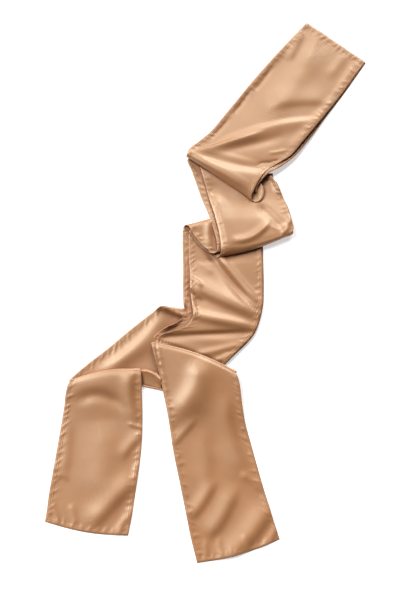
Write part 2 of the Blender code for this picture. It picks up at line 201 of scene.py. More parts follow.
SECOND_UPPER = Stretch(
    "second_stretch_upper",
    rows=[
        Row(0, 213, SECOND, 112, 196.5, SECOND),
        Row(7, 187, SECOND, 119, 185.5, SECOND),
        Row(11, 172, 2.4, 125, 173, 2.4),
        Row(14, 160, 3.4, 130, 161, 3.2, arch=0.4),
        Row(18, 147, 5.0, 134.5, 149, 4.8, arch=1),
        Row(21.5, 135, 6.9, 138, 136, 6.7, arch=1.6),
        Row(24, 125, 8.3, 140, 127, 8.1, arch=2),
        Row(28, 108, 9.5, 142.5, 117, 9.2, arch=2.2),
        Row(31, 89, 10.7, 143.5, 109, 10.1, arch=2, bow=2),
        Row(32, 78, 11.4, 142.8, 106, 10.6, arch=1, bow=5),
    ],
    end=Turn(
        far=Row(24, 67, THIRD, 140, 105, THIRD, bow=5),
        flap=Row(18, 70, THIRD, 136, 108, THIRD, bow=3),
        reach_left=5,
        reach_right=3.2,
    ),
)

SECOND_LOWER = Stretch(
    "second_stretch_lower",
    rows=[
        Row(-20, 226, FLOOR, 114.5, 199, FLOOR),
        Row(-13, 207, FLOOR, 121, 188, FLOOR),
        Row(-6, 187, FLOOR, 126, 174, FLOOR),
        Row(3, 160, 1.4, 131, 160, 1.2),
        Row(8.5, 146, 3.2, 136, 148, 3.0),
        Row(13, 134, 5.3, 139, 136, 5.0),
        Row(16, 125, 6.9, 141, 127, 6.6),
        Row(21, 108, 7.8, 143, 117, 7.4),
        Row(25, 92, 9.0, 143.5, 111, 8.4),
        Row(26, 84, 9.3, 143, 108.6, 8.55, bow=1.8),
    ],
    start=Turn(
        far=Row(-18, 226, 2.3, 113.5, 198.5, 3.4),
        flap=Row(-14, 224, 2.3, 112, 195.5, 3.4),
        reach_left=1,
        reach_right=3.0,
    ),
)

TURNED_UPPER = Stretch(
    "turned_stretch_upper",
    rows=[
        Row(13, 75.5, FOURTH, 137, 107, FOURTH, bow=3),
        Row(7, 80.5, FOURTH, 131, 111, FOURTH, bow=2),
        Row(-5, 94, 5.5, 116, 121, FOURTH),
        Row(-11, 103, 6.6, 107, 127, FOURTH, bow=-2),
        Row(-15, 110, 7.4, 101, 130, FOURTH, bow=-6),
    ],
    start=Turn(
        far=Row(26, 80, 9.4, 143, 108, 8.6, bow=2),
        flap=Row(26, 84, 9.3, 143, 108.6, 8.55, bow=1.8),
        reach_left=6.5,
        reach_right=2,
    ),
    end=Turn(
        far=Row(-26, 112, FLOOR, 98, 129, FLOOR, bow=-6),
        flap=Row(-27, 107, FLOOR, 98, 123, FLOOR, bow=-4),
        reach_left=6,
        reach_right=5,
    ),
)

TURNED_LOWER = Stretch(
    "turned_stretch_lower",
    rows=[
        Row(18, 70, THIRD, 136, 108, THIRD, bow=3),
        Row(1, 82, THIRD, 116, 119, THIRD),
        Row(-12, 99, 3.9, 104, 125, THIRD, bow=-2),
        Row(-16, 106, 4.6, 99, 127.5, 4.0, bow=-6),
    ],
    end=Turn(
        far=Row(-17.5, 106.5, SECOND, 98, 127, SECOND, bow=-6),
        flap=Row(-17.5, 104, SECOND, 96, 124, SECOND, bow=-4),
        reach_left=2,
        reach_right=0.9,
    ),
)

THIRD_UPPER = Stretch(
    "third_stretch_upper",
    rows=[
        Row(-17.5, 104, SECOND, 96, 124, SECOND, bow=-4),
        Row(-17, 60, SECOND, 95, 75, SECOND),
        Row(-16, 50, 2.3, 95.5, 56, 2.3, arch=1.5),
        Row(-15, 15, 2.8, 95, 18, 2.5, arch=2),
        Row(-12, -9, 4.8, 93.5, -8, 3.4, arch=2.5),
        Row(-11, -26, 7.2, 88, -32, 4.2, arch=2),
        Row(-21, -41, 8.6, 80, -52, 5.5, arch=1),
        Row(-42.5, -48.5, 7.8, 66, -68, 5.5, arch=1),
        Row(-60, -55, 6.2, 50, -84, 5.4),
        Row(-68, -65, 5.4, 31, -104, 5.4),
    ],
)

THIRD_LOWER = Stretch(
    "third_stretch_lower",
    rows=[
        Row(-27, 107, FLOOR, 98, 123, FLOOR, bow=-4),
        Row(-27, 86, FLOOR, 97, 94, FLOOR),
        Row(-26, 50, FLOOR, 97, 55, FLOOR),
        Row(-26, 15, FLOOR, 97, 19, FLOOR),
        Row(-25, -8, 1.8, 95.5, -8, 1.0),
        Row(-22.5, -22, 3.4, 90.5, -31, 2.6),
        Row(-33.5, -34.5, THIRD, 82.5, -51, THIRD),
        Row(-53, -44, THIRD, 69, -68, THIRD),
        Row(-67, -54, THIRD, 52, -84, THIRD),
        Row(-74, -62, THIRD, 33, -103, THIRD),
    ],
)

CROSS_PLEAT = Stretch(
    "cross_pleat",
    rows=[
        Row(0, -36, SECOND, 31, -88, SECOND),
        Row(-28, -50, SECOND, 22, -96, SECOND),
        Row(-58, -64, SECOND, 10, -104, SECOND),
    ],
)

TAIL_PLEAT = Stretch(
    "tail_pleat",
    rows=[
        Row(-56, -74, 4.6, 32, -112, 4.6, thick=DOUBLE),
        Row(-46, -88, 4.6, 26, -124, 4.5, thick=DOUBLE),
        Row(-34, -105, 4.2, 15, -135, 4.0, thick=2.4),
        Row(-20, -124, 3.6, 5, -145, 3.4, thick=2.0),
        Row(-8, -144, 3.0, -3, -150, 2.9, thick=1.6),
    ],
    layers=2,
)

RIGHT_TAIL = Stretch(
    "right_tail",
    rows=[
        Row(-72, -67.5, 8.7, 53, -111.5, 8.4, arch=1.0, bow=-6.5),
        Row(-71, -72.5, 9.8, 55.5, -117, 9.8, arch=1.2, bow=-6),
        Row(-69.5, -80, 9.4, 57.5, -124, 9.4, arch=1.5, bow=-5),
        Row(-62, -106, 7.0, 60, -140, 7.6, arch=2.5, bow=-2),
        Row(-55, -136, 4.4, 62, -157, 5.4, arch=3),
        Row(-47, -173, 1.6, 66, -183, 2.2, arch=1.5),
        Row(-39, -223, FLOOR, 74, -213, FLOOR),
        Row(-30, -265, FLOOR, 82, -243, FLOOR),
        Row(-21, -307, FLOOR, 92, -279, FLOOR),
        Row(-13, -345, FLOOR, 103, -315, FLOOR, bow=2),
        Row(-4, -379, FLOOR, 113, -347, FLOOR, bow=5),
    ],
    start=Turn(
        far=Row(-70.5, -67, 7.2, 54, -110.5, 7.0, bow=-6.5),
        flap=Row(-69, -69, 7.2, 53, -112.5, 7.0, bow=-6.5),
        reach_left=1.4,
        reach_right=2,
    ),
)

CROSS_STRETCH = Stretch(
    "cross_stretch",
    rows=[
        Row(-2, -16, FLOOR, 28, -82, FLOOR),
        Row(-24, -14, FLOOR, 15, -93, FLOOR),
        Row(-42, -12, FLOOR, 4, -102, FLOOR),
        Row(-59, -11, FLOOR, -6, -110, FLOOR),
        Row(-75, -22, FLOOR, -18, -119, FLOOR),
        Row(-105, -46, FLOOR, -32, -128, FLOOR),
        Row(-140, -76, FLOOR, -42, -132, FLOOR),
        Row(-169, -99, FLOOR, -48, -134, FLOOR),
        Row(-187, -115, FLOOR, -51, -136, FLOOR, bow=-2),
        Row(-193, -122, FLOOR, -52, -137, FLOOR, bow=-5),
    ],
    end=Turn(
        far=Row(-193, -122, SECOND, -52, -137, SECOND, bow=-5),
        flap=Row(-192, -120, SECOND, -53, -135, SECOND, bow=-5),
        reach_left=0.9,
        reach_right=0.9,
    ),
)

LEFT_PLEAT = Stretch(
    "left_pleat",
    rows=[
        Row(-98, -106.0, 1.8, -60, -113.0, 2.2, bow=-5),
        Row(-98, -108.0, 4.4, -58, -118.0, 5.6, bow=-6),
        Row(-98, -110.0, 5.6, -57, -122.5, 7.2, bow=-6.5),
        Row(-98, -111.2, 5.2, -57, -124.3, 6.2, bow=-6.3),
        Row(-98, -112.6, 4.6, -57, -126.0, 5.0, bow=-5.6),
        Row(-98, -118.0, 2.6, -57, -131.0, 2.6, bow=-3),
        Row(-98, -125.5, 1.2, -56.5, -135.5, 1.2, bow=-1),
    ],
)

LEFT_TAIL = Stretch(
    "left_tail",
    rows=[
        Row(-193, -123.5, 4.8, -87, -109, 6.2, arch=1.5, bow=-6.5),
        Row(-195, -129, 5.2, -86.5, -114.5, 6.9, arch=2.4, bow=-6),
        Row(-197, -138, 4.4, -86, -123, 6.2, arch=3.0, bow=-4.5),
        Row(-199, -158, 2.2, -85, -148, 3.2, arch=1.8),
        Row(-203, -187, 0.7, -84, -183, 0.7, arch=0.4),
        Row(-207, -216, FLOOR, -85, -220, FLOOR),
        Row(-212, -251, FLOOR, -89, -257, FLOOR),
        Row(-217, -286, FLOOR, -94, -293, FLOOR),
        Row(-219, -308, FLOOR, -98, -321, FLOOR, bow=2),
        Row(-221, -323, FLOOR, -102, -342, FLOOR, bow=5),
    ],
    start=Turn(
        far=Row(-193, -123.5, 3.2, -87, -108.5, 2.4, bow=-6.5),
        flap=Row(-192, -126, 3.2, -86.5, -110, 2.4, bow=-6.5),
        reach_left=1.1,
        reach_right=4,
    ),
)

STRETCHES = [
    TOP_UPPER,
    TOP_LOWER,
    FIRST_PLEAT,
    SECOND_UPPER,
    SECOND_LOWER,
    TURNED_UPPER,
    TURNED_LOWER,
    THIRD_UPPER,
    THIRD_LOWER,
    CROSS_PLEAT,
    TAIL_PLEAT,
    RIGHT_TAIL,
    CROSS_STRETCH,
    LEFT_PLEAT,
    LEFT_TAIL,
]

# The creases of each stretch
CREASES = {
    "top_stretch_upper": [
        Crease(97, 147, 92, 168, 92, 187, -3.0, 3.4),
        Crease(-30, 230, 44, 248, 112, 272, 2.4, 6.0, -0.5),
        Crease(6, 232, 96, 288, 214, 290, 2.6, 9, -0.3),
        Crease(-32, 236, 29, 203, 94, 167, 2.8, 9, -0.1),
        Crease(-24, 246, 64, 196, 136, 216, -3.0, 9),
        Crease(20, 240, 80, 244, 146, 268, -1.6, 8),
        Crease(88, 216, 108, 216, 130, 224, -1.0, 2.8),
        Crease(104, 234, 120, 232, 140, 241, 0.7, 3),
        Crease(174, 466, 88, 362, 2, 254, 2.0, 9, -0.1),
        Crease(168, 452, 156, 424, 140, 392, 1.8, 7),
        Crease(202, 460, 186, 424, 164, 376, 1.1, 9),
        Crease(216, 436, 140, 350, 108, 280, 2.2, 18),
        Crease(98, 310, 150, 334, 218, 324, 2.0, 14, 0.5),
        Crease(122, 392, 102, 360, 84, 338, -1.0, 4),
        Crease(88, 354, 68, 322, 50, 296, -1.1, 4),
        Crease(50, 298, 34, 276, 12, 252, -1.0, 3.5),
        Crease(256, 398, 232, 356, 204, 318, 1.2, 6),
        Crease(216, 334, 198, 308, 172, 278, 1.6, 7),
        Crease(180, 286, 160, 262, 136, 234, 1.6, 8),
        Crease(240, 414, 224, 388, 204, 362, 0.9, 8),
    ],
    "second_stretch_upper": [
        Crease(20, 178, 38, 130, 48, 54, 3.2, 11, 0.1),
        Crease(42, 92, 84, 82, 112, 130, 2.8, 5.5, 0.15),
        Crease(104, 120, 120, 104, 136, 108, 1.2, 5),
        Crease(122, 98, 136, 106, 139, 136, 2.0, 4.5),
        Crease(86, 152, 110, 134, 134, 100, -2.8, 7.5, -0.3),
        Crease(96, 208, 124, 206, 126, 158, 5.6, 5.5, -0.2),
        Crease(-8, 212, 34, 190, 90, 148, 3.6, 11),
    ],
    "turned_stretch_upper": [
        Crease(-12, 104, 4, 92, 18, 79, 1.2, 5),
        Crease(20, 140, 6, 96, 22, 58, 2.4, 6, -0.2),
    ],
    "third_stretch_upper": [
        Crease(16, 88, 47.5, 36.5, 102, -20, 4.4, 5.6, 0.15),
        Crease(6, 84, 38, 32, 94, -32, -3.2, 7),
        Crease(-40, 34, 28, 6, 112, -36, 6.6, 14, 0.35),
        Crease(-40, -16, 20, -32, 110, -47, 4.2, 8, 0.1),
        Crease(-86, -60, -20, -54, 100, -50, -3.4, 5.4, -0.3),
        Crease(-20, -88, 25, -79, 76, -65, 1.9, 5.5),
        Crease(8, -101, 34, -89, 62, -77, 1.3, 4.5),
        Crease(-130, -45, -20, -72, 84, -122, -2.6, 4),
        Crease(-20, 38, -8, 31, 6, 16, 2.4, 3.4),
        Crease(-20, 22, -8, 14, 4, -4, 2.0, 3.4),
        Crease(-16, 12, -8, -4, -8, -28, 2.2, 4),
        Crease(-17, 66, 4, 50, 22, 38, 0.8, 5),
    ],
    "third_stretch_lower": [
        Crease(-86, -60, -20, -54, 100, -50, -1.2, 6.4, -0.3),
        Crease(6, 84, 38, 32, 94, -32, -1.0, 7),
        Crease(-130, -45, -20, -72, 84, -122, -0.9, 5),
        Crease(-27, 10, -17, -42, -73, -47, 5.4, 4),
    ],
    "right_tail": [
        Crease(-2, -84, 12, -142, -52, -188, 5.6, 18, 0.05),
        Crease(36, -138, 34, -205, 76, -276, 3.2, 12, -0.4),
        Crease(0, -188, 14, -235, 6, -284, 1.2, 12, -0.2),
        Crease(-42, -216, -26, -200, -2, -172, 1.4, 6, 0.2),
        Crease(-22, -322, 6, -300, 22, -258, 2.4, 9, 0.3),
        Crease(2, -348, 36, -322, 52, -266, 2.8, 11, 0.3),
        Crease(16, -388, 78, -348, 106, -284, 4.4, 14, 0.35),
        Crease(78, -374, 98, -350, 114, -322, 1.6, 6, 0.2),
        Crease(56, -254, 74, -262, 92, -284, 1.4, 6),
        Crease(-68, -50, -63, -94, -48, -156, -0.9, 1.9),
        Crease(-66, -50, -59, -94, -44, -156, 0.5, 3.2),
        Crease(7, -344, 9, -362, 9, -384, 0.7, 4),
        Crease(25, -340, 28, -358, 29, -382, 0.7, 4.5),
        Crease(60, -338, 66, -350, 70, -368, 0.6, 4),
    ],
    "cross_stretch": [
        Crease(-78, -14, -52, -4, -6, -24, 3.4, 4.5, -0.3),
        Crease(-78, -1, -44, -20, -6, -31, 5.0, 4.5, 0.2),
        Crease(-46, -6, -70, -68, -172, -128, 2.8, 11, 0.1),
        Crease(-44, -46, -78, -72, -150, -112, 1.4, 12),
    ],
    "left_tail": [
        Crease(-96, -96, -118, -146, -84, -200, 3.0, 9, -0.3),
        Crease(-188, -160, -150, -122, -104, -172, -2.4, 9),
        Crease(-80, -193, -92, -190, -108, -183, 1.0, 3),
        Crease(-76, -194, -98, -204, -118, -242, 1.9, 8, -0.3),
        Crease(-88, -236, -92, -250, -96, -268, 0.9, 5),
        Crease(-80, -250, -128, -292, -166, -340, 3.6, 13, -0.3),
        Crease(-90, -298, -108, -322, -124, -346, 1.4, 6),
        Crease(-196, -166, -189, -220, -200, -266, 1.1, 8),
        Crease(-140, -176, -132, -240, -150, -304, 2.4, 26),
        Crease(-216, -240, -204, -252, -186, -268, 0.9, 5),
        Crease(-214, -292, -206, -310, -200, -330, 0.8, 4),
        Crease(-186, -296, -180, -312, -176, -332, 0.8, 5),
    ],
}

# Edges with a turned hem across the cloth, besides the two long edges of every stretch
HEMMED_ENDS = {
    "top_stretch_upper": (True, False),
    "top_stretch_lower": (True, False),
    "right_tail": (False, True),
    "left_tail": (False, True),
}

# Stretches that hardly show and need fewer faces
HIDDEN = {
    "top_stretch_lower",
    "first_pleat",
    "cross_pleat",
    "tail_pleat",
}


def smooth_step(share):
    """A share held between 0 and 1, with a soft start and end."""
    share = np.clip(share, 0, 1)
    return share * share * (3 - 2 * share)


def turn_rows(edge, turn):
    """Rows of a half turn from a panel's edge row over a fold to its far row, then the flap."""
    edge = np.array(edge, float)
    far = np.array(turn.far, float)
    flap = np.array(turn.flap, float)
    line = (far[RIGHT_PLAN] - far[LEFT_PLAN]) + (edge[RIGHT_PLAN] - edge[LEFT_PLAN])
    outward = np.array([line[1], -line[0]]) / np.linalg.norm(line)
    inward = (flap[LEFT_PLAN] + flap[RIGHT_PLAN]) - (far[LEFT_PLAN] + far[RIGHT_PLAN])
    if outward @ inward > 0:
        outward = -outward
    rows = []
    for step in range(1, TURN_STEPS + 1):
        angle = math.pi * step / TURN_STEPS
        row = edge + (far - edge) * (1 - math.cos(angle)) / 2
        row[LEFT_PLAN] += outward * turn.reach_left * math.sin(angle)
        row[RIGHT_PLAN] += outward * turn.reach_right * math.sin(angle)
        rows.append(row)
    return rows + [flap]


def all_rows(stretch):
    """The panel's rows with the turns at its two ends, in order along the cloth."""
    rows = [np.array(row, float) for row in stretch.rows]
    before = []
    after = []
    if stretch.start:
        before = turn_rows(stretch.rows[0], stretch.start)[::-1]
    if stretch.end:
        after = turn_rows(stretch.rows[-1], stretch.end)
    return np.array(before + rows + after)


def smooth_rows(rows, step):
    """Rows about one step apart along a smooth curve through the given ones."""
    left = np.linalg.norm(np.diff(rows[:, LEFT], axis=0), axis=1)
    right = np.linalg.norm(np.diff(rows[:, RIGHT], axis=0), axis=1)
    spans = np.maximum((left + right) / 2, SHORTEST_SPAN)
    chords = np.diff(rows, axis=0) / spans[:, None]
    slopes = np.empty_like(rows)
    slopes[0] = chords[0]
    slopes[-1] = chords[-1]
    before = spans[:-1, None]
    after = spans[1:, None]
    slopes[1:-1] = (chords[:-1] * after + chords[1:] * before) / (before + after)
    # The heights don't overshoot the given ones
    smaller = np.minimum(np.abs(chords[:-1]), np.abs(chords[1:]))
    steady = np.where(chords[:-1] * chords[1:] > 0, 2 * smaller, 0)
    slopes[1:-1, HEIGHTS] = np.clip(slopes[1:-1], -steady, steady)[:, HEIGHTS]
    result = [rows[0]]
    for i, span in enumerate(spans):
        count = max(2, round(max(left[i], right[i]) / step))
        for k in range(1, count + 1):
            t = k / count
            result.append(
                rows[i] * (2 * t**3 - 3 * t**2 + 1)
                + slopes[i] * span * (t**3 - 2 * t**2 + t)
                + rows[i + 1] * (3 * t**2 - 2 * t**3)
                + slopes[i + 1] * span * (t**3 - t**2)
            )
    return np.array(result)


def across(width, step):
    """Fractions of the width where the mesh has its lines, closer together at the hems."""
    coarse = step > FINE_STEP or width < 4 * HEM
    hem = np.array(COARSE_HEM_LINES if coarse else HEM_LINES)
    middle = width - 2 * hem[-1]
    count = max(LEAST_COLUMNS, round(middle / step))
    inside = np.linspace(hem[-1], width - hem[-1], count + 1)[1:-1]
    return np.concatenate([hem, inside, width - hem[::-1]]) / width


def sheet_points(rows, fractions):
    """Grid of points of the cloth's middle, rows along it by columns across it."""
    fractions = fractions[None, :, None]
    left = rows[:, None, LEFT]
    right = rows[:, None, RIGHT]
    points = left + (right - left) * fractions
    wave = np.sin(math.pi * fractions)
    points[:, :, 2:3] += rows[:, None, ARCH] * wave
    line = rows[:, RIGHT_PLAN] - rows[:, LEFT_PLAN]
    length = np.linalg.norm(line, axis=1)
    downstream = np.stack([line[:, 1], -line[:, 0]], axis=1) / length[:, None]
    points[:, :, 0:2] += downstream[:, None, :] * rows[:, None, BOW] * wave
    return points


def crease_heights(points, creases):
    """Height that the creases add at each point, each a smooth bump along its own curve."""
    total = np.zeros(points.shape[:2])
    place = points[:, :, 0:2].astype(np.float32)
    t = np.linspace(0, 1, CREASE_STEPS, dtype=np.float32)[:, None]
    for crease in creases:
        start = np.array([crease.x0, crease.y0], np.float32)
        middle = np.array([crease.x1, crease.y1], np.float32)
        end = np.array([crease.x2, crease.y2], np.float32)
        curve = start * (1 - t) ** 2 + middle * 2 * t * (1 - t) + end * t**2
        ahead = np.gradient(curve, axis=0)
        ahead /= np.linalg.norm(ahead, axis=1, keepdims=True)
        apart = ((place[:, :, None] - curve) ** 2).sum(axis=3)
        nearest = apart.argmin(axis=2)
        least = np.take_along_axis(apart, nearest[:, :, None], axis=2)[:, :, 0]
        offset = place - curve[nearest]
        aside = ahead[nearest, 0] * offset[:, :, 1] - ahead[nearest, 1] * offset[:, :, 0]
        width = crease.width * (1 + crease.lean * np.tanh(aside / crease.width))
        along = nearest / (CREASE_STEPS - 1)
        fade = smooth_step(np.minimum(along, 1 - along) / CREASE_TAPER)
        total += crease.height * fade * np.exp(-least / width**2)
    return total


def tangents(points, axis):
    """Direction of a grid of points along one axis, halfway between the steps on both sides."""
    steps = np.diff(points, axis=axis)
    steps /= np.maximum(np.linalg.norm(steps, axis=2, keepdims=True), SHORTEST_STEP)
    first = np.take(steps, [0], axis=axis)
    last = np.take(steps, [-1], axis=axis)
    return np.concatenate([first, steps], axis=axis) + np.concatenate([steps, last], axis=axis)


def sheet_normals(points):
    """Unit normals of a grid of points, on the side that faces up halfway along it."""
    normal = np.cross(tangents(points, 0), tangents(points, 1))
    normal /= np.linalg.norm(normal, axis=2, keepdims=True)
    if normal[len(points) // 2, 1:-1, 2].mean() < 0:
        normal = -normal
    return normal


def lengths(points, axis):
    """Distance along a grid of points from its first line, along one axis."""
    steps = np.linalg.norm(np.diff(points, axis=axis), axis=2)
    total = np.cumsum(steps, axis=axis)
    first = np.zeros_like(np.take(total, [0], axis=axis))
    return np.concatenate([first, total], axis=axis)


def puckers(inward, along, seed):
    """Height of the small gathers that a row of stitches pulls up beside a hem."""
    random = np.random.default_rng(seed)
    total = np.zeros_like(inward)
    place = random.uniform(*PUCKER_START)
    end = along.max()
    rise = smooth_step((inward - PUCKER_FOOT) / PUCKER_RISE)
    while place < end:
        height = random.uniform(*PUCKER_HEIGHT)
        width = random.uniform(*PUCKER_WIDTH)
        reach = random.uniform(*PUCKER_REACH)
        skew = random.uniform(*PUCKER_SKEW)
        beside = along - place - skew * (inward - STITCH_LINE)
        fade = np.exp(-((np.maximum(inward - HEM, 0) / reach) ** 2))
        lifted = height * (PUCKER_SHARE + (1 - PUCKER_SHARE) * rise)
        total += lifted * fade * np.exp(-((beside / width) ** 2))
        place += random.uniform(*PUCKER_SPACING)
    return total


def hem_thickness(inward):
    """Extra half thickness of a turned hem, with the groove that its stitches press in."""
    band = smooth_step((HEM_FOOT - inward) / HEM_SLOPE)
    groove = np.exp(-(((inward - STITCH_LINE) / GROOVE_WIDTH) ** 2))
    return HEM_RAISE * band - GROOVE_DEPTH * groove


def rounded_edge(inward):
    """Share of the thickness that is left towards the very edge, where the cloth is rounded."""
    near = np.clip(inward / EDGE_ROUNDING, 0, 1)
    return np.sqrt(1 - (1 - near) ** 2) * (1 - EDGE_SHARE) + EDGE_SHARE


def grid_faces(row_count, column_count, first, flip):
    """Quads of a grid whose places start at first."""
    a = first + (np.arange(row_count - 1)[:, None] * column_count + np.arange(column_count - 1))
    b = a + 1
    c = b + column_count
    d = a + column_count
    order = (a, d, c, b) if flip else (a, b, c, d)
    return np.stack(order, axis=2).reshape(-1, 4)


def ring_places(row_count, column_count):
    """Places round the edge of a grid, in order."""
    grid = np.arange(row_count * column_count).reshape(row_count, column_count)
    return np.concatenate([grid[0, :-1], grid[:-1, -1], grid[-1, :0:-1], grid[:0:-1, 0]])


def shell(points, normal, half):
    """Vertices and quads of the closed shell round a sheet, and its grids above and below."""
    top = points + normal * half[:, :, None]
    bottom = points - normal * half[:, :, None]
    top[:, :, 2] = np.maximum(top[:, :, 2], LOWEST + THINNEST)
    bottom[:, :, 2] = np.maximum(bottom[:, :, 2], LOWEST)
    row_count, column_count = points.shape[:2]
    size = row_count * column_count
    ring = ring_places(row_count, column_count)
    following = np.roll(ring, -1)
    rim = np.stack([ring, ring + size, following + size, following], axis=1)
    faces = np.concatenate([
        grid_faces(row_count, column_count, 0, flip=False),
        grid_faces(row_count, column_count, size, flip=True),
        rim,
    ])
    return np.concatenate([top.reshape(-1, 3), bottom.reshape(-1, 3)]), faces, top, bottom


def signed_volume(vertices, faces):
    """A number that is negative where the quads point in."""
    a, b, c, d = (vertices[faces[:, k]] for k in range(4))
    first = np.einsum("ij,ij->i", a, np.cross(b, c)).sum()
    return first + np.einsum("ij,ij->i", a, np.cross(c, d)).sum()


def add_object(name, data):
    """An object of the scene with the given mesh, light or camera."""
    thing = bpy.data.objects.new(name, data)
    bpy.context.collection.objects.link(thing)
    return thing


def mesh_object(name, vertices, faces, material):
    """A smooth-shaded object of a closed mesh given in millimetres of the tables."""
    if signed_volume(vertices, faces) < 0:
        faces = faces[:, ::-1]
    mesh = bpy.data.meshes.new(name)
    mesh.from_pydata(((vertices - MIDDLE) * MM).tolist(), [], faces.tolist())
    mesh.materials.append(material)
    mesh.shade_smooth()
    return add_object(name, mesh)


def add_places(piece, along, inward, copies):
    """Stores how far along and across the cloth each vertex is, in metres, for the weave."""
    values = np.zeros((along.size * copies, 3), np.float32)
    values[:, 0] = np.tile(along.ravel() * MM, copies)
    values[:, 1] = np.tile(inward.ravel() * MM, copies)
    attribute = piece.data.attributes.new("cloth_place", "FLOAT_VECTOR", "POINT")
    attribute.data.foreach_set("vector", values.ravel())


def along_line(place, reached, values):
    """The value of a line, given at the distances reached, at one place along it."""
    return np.array([np.interp(place, reached, values[:, k]) for k in range(3)])


def stitch_row(line, normal):
    """Vertices and quads of a row of stitches along a line of points, sunk in the cloth."""
    steps = np.linalg.norm(np.diff(line, axis=0), axis=1)
    reached = np.concatenate([[0], np.cumsum(steps)])
    vertices = []
    faces = []
    for place in np.arange(STITCH_PITCH, reached[-1] - STITCH_PITCH, STITCH_PITCH):
        centre = along_line(place, reached, line)
        ahead = along_line(place + 1, reached, line) - centre
        ahead /= np.linalg.norm(ahead)
        side = np.cross(ahead, along_line(place, reached, normal))
        side /= np.linalg.norm(side)
        up = np.cross(side, ahead)
        first = len(vertices)
        for shift, share in STITCH_RINGS:
            for k in range(STITCH_SIDES):
                angle = 2 * math.pi * k / STITCH_SIDES
                around = side * math.cos(angle) + up * math.sin(angle)
                vertices.append(
                    centre
                    + ahead * shift * STITCH_LENGTH
                    + around * share * STITCH_RADIUS
                    - up * STITCH_RADIUS * STITCH_DIP * abs(shift)
                )
        for ring in range(len(STITCH_RINGS) - 1):
            for k in range(STITCH_SIDES):
                a = first + ring * STITCH_SIDES + k
                b = first + ring * STITCH_SIDES + (k + 1) % STITCH_SIDES
                faces.append((a, b, b + STITCH_SIDES, a + STITCH_SIDES))
        # Two quads close the six sides at each end
        last = first + (len(STITCH_RINGS) - 1) * STITCH_SIDES
        faces += [
            (first + 3, first + 2, first + 1, first),
            (first, first + 5, first + 4, first + 3),
            (last, last + 1, last + 2, last + 3),
            (last + 3, last + 4, last + 5, last),
        ]
    return vertices, faces


def hemmed_edges(stretch, along, inward):
    """For each hemmed edge, the distances from it and along it, and its axis of the grid."""
    edges = [(inward, along, 0), (inward[:, -1:] - inward, along, 0)]
    at_start, at_end = HEMMED_ENDS.get(stretch.name, (False, False))
    if at_start:
        edges.append((along, inward, 1))
    if at_end:
        edges.append((along[-1:] - along, inward, 1))
    return edges


def cloth_sheet(stretch, order):
    """Middle points, normals and places of one stretch with all its creases and puckers."""
    step = HIDDEN_STEP if stretch.name in HIDDEN else FINE_STEP
    rows = smooth_rows(all_rows(stretch), step)
    width = np.linalg.norm(rows[:, RIGHT] - rows[:, LEFT], axis=1).max()
    points = sheet_points(rows, across(width, step))
    facing_up = np.clip(sheet_normals(points)[:, :, 2], 0, 1)
    lift = crease_heights(points, CREASES.get(stretch.name, ()))
    points[:, :, 2] += lift * facing_up
    along = lengths(points, 0)
    inward = lengths(points, 1)
    gathered = np.zeros_like(along)
    nearest = np.full_like(along, FAR_AWAY)
    for k, (from_edge, beside, _) in enumerate(hemmed_edges(stretch, along, inward)):
        gathered += puckers(from_edge, beside, seed=SEEDS_APART * order + k)
        nearest = np.minimum(nearest, from_edge)
    normal = sheet_normals(points)
    if stretch.layers == 1:
        points = points + normal * gathered[:, :, None]
        normal = sheet_normals(points)
    return points, normal, along, inward, nearest, rows


def stitched_lines(stretch, along, inward):
    """Places in the grid of the columns and rows that are stitched, one for each hemmed edge."""
    lines = []
    for from_edge, _, axis in hemmed_edges(stretch, along, inward):
        line = int(np.abs(from_edge.mean(axis=axis) - STITCH_LINE).argmin())
        lines.append((slice(None), line) if axis == 0 else (line, slice(None)))
    return lines


def make_stitches(stretch, top, bottom, normal, lines, thread):
    """Rows of stitches along the hems, on both faces."""
    vertices = []
    faces = []
    for line in lines:
        for side, facing in ((top, normal), (bottom, -normal)):
            more, quads = stitch_row(side[line], facing[line])
            faces += [tuple(place + len(vertices) for place in quad) for quad in quads]
            vertices += more
    vertices = np.array(vertices)
    vertices[:, 2] = np.maximum(vertices[:, 2], LOWEST)
    piece = mesh_object(stretch.name + "_stitches", vertices, np.array(faces), thread)
    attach(piece, "root")
    return piece


def make_stretch(stretch, order, satin, thread):
    """The cloth of one stretch and its stitches, in place of its solid."""
    points, normal, along, inward, nearest, rows = cloth_sheet(stretch, order)
    half = (CLOTH / 2 + hem_thickness(nearest)) * rounded_edge(nearest)
    blocks = []
    faces = []
    first = 0
    for layer in range(stretch.layers):
        offset = (layer - (stretch.layers - 1) / 2) * (rows[:, THICK] - WALL)
        middle = points + normal * offset[:, None, None]
        vertices, quads, top, bottom = shell(middle, normal, half)
        blocks.append(vertices)
        faces.append(quads + first)
        first += len(vertices)
    piece = mesh_object(stretch.name + "_cloth", np.concatenate(blocks), np.concatenate(faces), satin)
    add_places(piece, along, inward, 2 * stretch.layers)
    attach(piece, "root")
    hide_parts(stretch.name)
    if stretch.layers == 1:
        lines = stitched_lines(stretch, along, inward)
        make_stitches(stretch, top, bottom, normal, lines, thread)


def new_material(name):
    """A material with its node tree and its shader."""
    material = bpy.data.materials.new(name)
    material.use_nodes = True
    tree = material.node_tree
    return material, tree, tree.nodes["Principled BSDF"]


def set_inputs(node, values):
    """Sets a node's inputs by their names."""
    for name, value in values.items():
        node.inputs[name].default_value = value


def noise(tree, vector, scale):
    """The value of a noise over a vector."""
    node = tree.nodes.new("ShaderNodeTexNoise")
    set_inputs(node, {"Scale": scale, "Detail": 2.0})
    tree.links.new(vector, node.inputs["Vector"])
    return node.outputs["Fac"]


